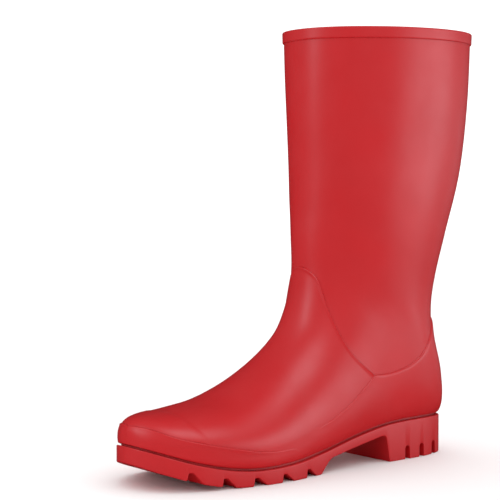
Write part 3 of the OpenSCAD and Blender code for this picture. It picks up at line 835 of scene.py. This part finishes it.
class Shade:
    """A procedural material being put together."""

    def __init__(self, name, **sockets):
        self.mat = bpy.data.materials.new(name)
        self.mat.use_nodes = True
        self.nodes, self.links = self.mat.node_tree.nodes, self.mat.node_tree.links
        self.shader = self.nodes["Principled BSDF"]
        for key, value in sockets.items():
            self.shader.inputs[key.replace("_", " ")].default_value = value
        self.coords = self.nodes.new("ShaderNodeTexCoord").outputs["Object"]
        self.bumps = None

    def skin_coords(self):
        """Metres round and along the skin, from the mesh's own map."""
        node = self.nodes.new("ShaderNodeUVMap")
        node.uv_map = "along_skin"
        return node.outputs["UV"]

    def stretched(self, coords, scale):
        """The coordinates multiplied by scale on each axis."""
        node = self.nodes.new("ShaderNodeMapping")
        node.inputs["Scale"].default_value = scale
        self.links.new(coords, node.inputs["Vector"])
        return node.outputs["Vector"]

    def noise(self, size, detail=2.0, coords=None):
        """Noise whose features are about size metres across."""
        node = self.nodes.new("ShaderNodeTexNoise")
        node.inputs["Scale"].default_value = 1 / size
        node.inputs["Detail"].default_value = detail
        self.links.new(coords or self.coords, node.inputs["Vector"])
        return node.outputs["Fac"]

    def wave(self, pitch, axis, coords=None, distortion=0.0):
        """Even bands, pitch metres apart."""
        node = self.nodes.new("ShaderNodeTexWave")
        node.bands_direction = axis
        node.inputs["Scale"].default_value = math.tau / 20 / pitch
        node.inputs["Distortion"].default_value = distortion
        self.links.new(coords or self.coords, node.inputs["Vector"])
        return node.outputs["Fac"]

    def maths(self, op, a, b):
        """A Math node on two values, each a number or a socket."""
        node = self.nodes.new("ShaderNodeMath")
        node.operation = op
        for socket, value in zip(node.inputs, (a, b)):
            if isinstance(value, float):
                socket.default_value = value
            else:
                self.links.new(value, socket)
        return node.outputs["Value"]

    def colour(self, fac, stops):
        """Base colour from a value, by stops of (position, colour)."""
        node = self.nodes.new("ShaderNodeValToRGB")
        while len(node.color_ramp.elements) < len(stops):
            node.color_ramp.elements.new(0.5)
        for element, (at, colour) in zip(node.color_ramp.elements, stops):
            element.position = at
            element.color = (*colour, 1)
        self.links.new(fac, node.inputs["Fac"])
        self.links.new(node.outputs["Color"], self.shader.inputs["Base Color"])

    def roughness(self, fac, low, high):
        """Roughness from low to high as the value goes through its usual range."""
        node = self.nodes.new("ShaderNodeMapRange")
        node.inputs["From Min"].default_value, node.inputs["From Max"].default_value = 0.3, 0.7
        node.inputs["To Min"].default_value, node.inputs["To Max"].default_value = low, high
        self.links.new(fac, node.inputs["Value"])
        self.links.new(node.outputs["Result"], self.shader.inputs["Roughness"])

    def bump(self, fac, depth, strength):
        """Adds relief depth metres deep to the relief so far."""
        node = self.nodes.new("ShaderNodeBump")
        node.inputs["Distance"].default_value = depth
        node.inputs["Strength"].default_value = strength
        self.links.new(fac, node.inputs["Height"])
        if self.bumps:
            self.links.new(self.bumps, node.inputs["Normal"])
        self.bumps = node.outputs["Normal"]
        self.links.new(self.bumps, self.shader.inputs["Normal"])


def rubber(name, dark, light, rough, specular):
    """Moulded rubber: cloudy colour, uneven satin, a fine orange-peel skin."""
    m = Shade(name, Specular_IOR_Level=specular)
    m.colour(m.noise(0.045, 3.0), [(0.3, dark), (0.7, light)])
    m.roughness(m.noise(0.02, 4.0), rough - 0.035, rough + 0.035)
    m.bump(m.noise(0.012, 2.0), 0.00025, 0.35)
    m.bump(m.noise(0.0012, 2.0), 0.00004, 0.5)
    return m.mat


def knit_material():
    """A ribbed knit: ribs up the boot and loops across them, a little fuzzy."""
    m = Shade("Knit", Roughness=0.9, Specular_IOR_Level=0.2, Sheen_Weight=0.25)
    uv = m.skin_coords()
    ribs = m.wave(0.0022, "X", uv, 0.6)
    loops = m.wave(0.0016, "Y", uv, 1.2)
    # the node adds its own 0.5, so the ribs never fade out between loops
    stitches = m.maths("MULTIPLY", ribs, m.maths("MULTIPLY_ADD", loops, 0.6))
    m.colour(stitches, [(0.0, (0.36, 0.345, 0.32)), (0.5, (0.60, 0.58, 0.54)),
                        (1.0, (0.70, 0.68, 0.64))])
    m.bump(stitches, 0.0004, 0.8)
    m.bump(m.noise(0.0006, 3.0), 0.0001, 0.4)
    return m.mat


def cloth_material():
    """A plain weave with slightly uneven threads."""
    m = Shade("Footbed_cloth_weave", Roughness=0.92, Specular_IOR_Level=0.2, Sheen_Weight=0.3)
    thread = 0.0011
    weave = m.maths("MULTIPLY", m.wave(thread, "X"), m.wave(thread, "Y"))
    uneven = m.maths("MULTIPLY", weave, m.noise(0.0009))
    m.colour(uneven, [(0.0, (0.40, 0.385, 0.36)), (0.5, (0.66, 0.64, 0.60))])
    m.bump(weave, 0.00025, 0.7)
    m.bump(m.noise(0.02), 0.0006, 0.3)
    return m.mat


def grained(name, dark, light, rough, size, depth, stretch=(1, 1, 1), **sockets):
    """A plain material with grain of the given size, drawn out along an axis if stretched."""
    m = Shade(name, **sockets)
    grain = m.noise(size, 4.0, m.stretched(m.coords, stretch))
    m.colour(grain, [(0.3, dark), (0.7, light)])
    m.roughness(m.noise(size * 3), rough - 0.06, rough + 0.06)
    m.bump(grain, depth, 0.5)
    return m.mat


MATERIALS = {
    "rubber_upper": rubber("Rubber_upper", (0.48, 0.005, 0.008), (0.51, 0.006, 0.0095),
                           rough=0.42, specular=0.3),
    "rubber_sole": rubber("Rubber_sole", (0.47, 0.005, 0.008), (0.50, 0.006, 0.0095),
                          rough=0.45, specular=0.3),
    "bonding_rubber": rubber("Bonding_rubber", (0.42, 0.007, 0.010), (0.46, 0.008, 0.011),
                             rough=0.55, specular=0.4),
    "knit": knit_material(),
    "footbed_cloth": cloth_material(),
    "footbed_foam": grained("Footbed_foam_cells", (0.05, 0.05, 0.055), (0.10, 0.10, 0.11),
                            rough=0.8, size=0.0012, depth=0.0003),
    "board": grained("Board_fibre", (0.36, 0.24, 0.14), (0.50, 0.35, 0.21),
                     rough=0.85, size=0.002, depth=0.0003, stretch=(1, 0.3, 1)),
    "stiffener": grained("Stiffener_felt", (0.42, 0.34, 0.23), (0.58, 0.47, 0.33),
                         rough=0.9, size=0.0015, depth=0.0003),
    "heel_core": grained("Core_foam", (0.42, 0.30, 0.18), (0.55, 0.41, 0.26),
                         rough=0.8, size=0.002, depth=0.0004),
    "steel": grained("Shank_steel", (0.48, 0.48, 0.50), (0.66, 0.66, 0.68),
                     rough=0.35, size=0.001, depth=0.00005, stretch=(6, 0.2, 1), Metallic=1.0)}


def dress(obj, material):
    """Gives an object one material."""
    obj.data.materials.clear()
    obj.data.materials.append(material)


for make, node, slot in PIECES:
    piece = make()
    dress(piece, MATERIALS["footbed_cloth" if node == "footbed_cloth" else slot])
    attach(piece, "root")
    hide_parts(node)

# the inner pieces keep their CAD shapes and get a better material
HIDDEN_NODES = {"heel_core": "heel_core", "shank": "steel", "insole_board": "board",
                "heel_stiffener": "stiffener", "toe_puff": "stiffener"}
for node, slot in HIDDEN_NODES.items():
    for place_for_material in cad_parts[node].material_slots:
        place_for_material.material = MATERIALS[slot]

# ------------------------------------------------------------------ floor, light and camera

FLOOR = 4.0                                  # metres from its middle to each side
floor_mesh = bpy.data.meshes.new("Floor")
floor_mesh.from_pydata([(-FLOOR, -FLOOR, 0), (FLOOR, -FLOOR, 0), (FLOOR, FLOOR, 0), (-FLOOR, FLOOR, 0)],
                       [], [(0, 1, 2, 3)])
floor = bpy.data.objects.new("Floor", floor_mesh)
bpy.context.collection.objects.link(floor)
ground = Shade("Floor_paper", Roughness=0.9, Specular_IOR_Level=0.1)
ground.colour(ground.noise(0.5), [(0.3, (0.90, 0.90, 0.90)), (0.7, (0.92, 0.92, 0.92))])
dress(floor, ground.mat)
floor.visible_glossy = False                 # floor and room would put a grey veil over the red

world = bpy.data.worlds.new("Studio")
bpy.context.scene.world = world
world.use_nodes = True
room = world.node_tree.nodes["Background"]
room.inputs["Color"].default_value = (1, 1, 1, 1)
room.inputs["Strength"].default_value = 1.3
world.cycles_visibility.glossy = False

CAMERA_AT = Vector((0.8548, -0.6787, 0.1947))
YAW, PITCH = math.radians(36.6), math.radians(2.26)      # off the side view, and down
LOOK = Vector((-math.cos(YAW) * math.cos(PITCH), math.sin(YAW) * math.cos(PITCH), -math.sin(PITCH)))
camera = bpy.data.objects.new("Camera", bpy.data.cameras.new("Camera"))
bpy.context.collection.objects.link(camera)
camera.location = CAMERA_AT
camera.rotation_euler = LOOK.to_track_quat("-Z", "Y").to_euler()
camera.data.sensor_width = 36
camera.data.lens = 111.5
camera.data.clip_start, camera.data.clip_end = 0.01, 50
bpy.context.scene.camera = camera
bpy.context.scene.view_settings.view_transform = "Standard"
bpy.context.scene.view_settings.look = "None"

MIDDLE = Vector((0, 0.05, 0.17))             # what the panels of light point at, inside the leg
COOL_WHITE = (0.80, 0.93, 1.0)


def softbox(name, turn, height, distance, size, power):
    """A soft panel of light, turn degrees round from the camera, positive to its right."""
    towards = Vector((-LOOK.x, -LOOK.y, 0)).normalized()
    angle = math.radians(turn)
    at = Vector((towards.x * math.cos(angle) - towards.y * math.sin(angle),
                 towards.x * math.sin(angle) + towards.y * math.cos(angle), 0)) * distance
    light = bpy.data.lights.new(name, "AREA")
    light.shape, (light.size, light.size_y) = "RECTANGLE", size
    light.energy = power
    light.color = COOL_WHITE
    lamp = bpy.data.objects.new(name, light)
    bpy.context.collection.objects.link(lamp)
    lamp.visible_diffuse = False               # the room gives the soft light, the panels the gloss
    lamp.location = MIDDLE + at + Vector((0, 0, height))
    lamp.rotation_euler = (MIDDLE - lamp.location).to_track_quat("-Z", "Y").to_euler()


softbox("Softbox_left", turn=-67, height=0.6, distance=1.3, size=(0.2, 0.9), power=9)
softbox("Softbox_right", turn=80, height=0.03, distance=1.3, size=(1.1, 0.5), power=10)
softbox("Softbox_back", turn=125, height=0.0, distance=1.3, size=(0.7, 0.45), power=0.8)
softbox("Softbox_top", turn=30, height=1.2, distance=0.7, size=(1.0, 1.0), power=17)
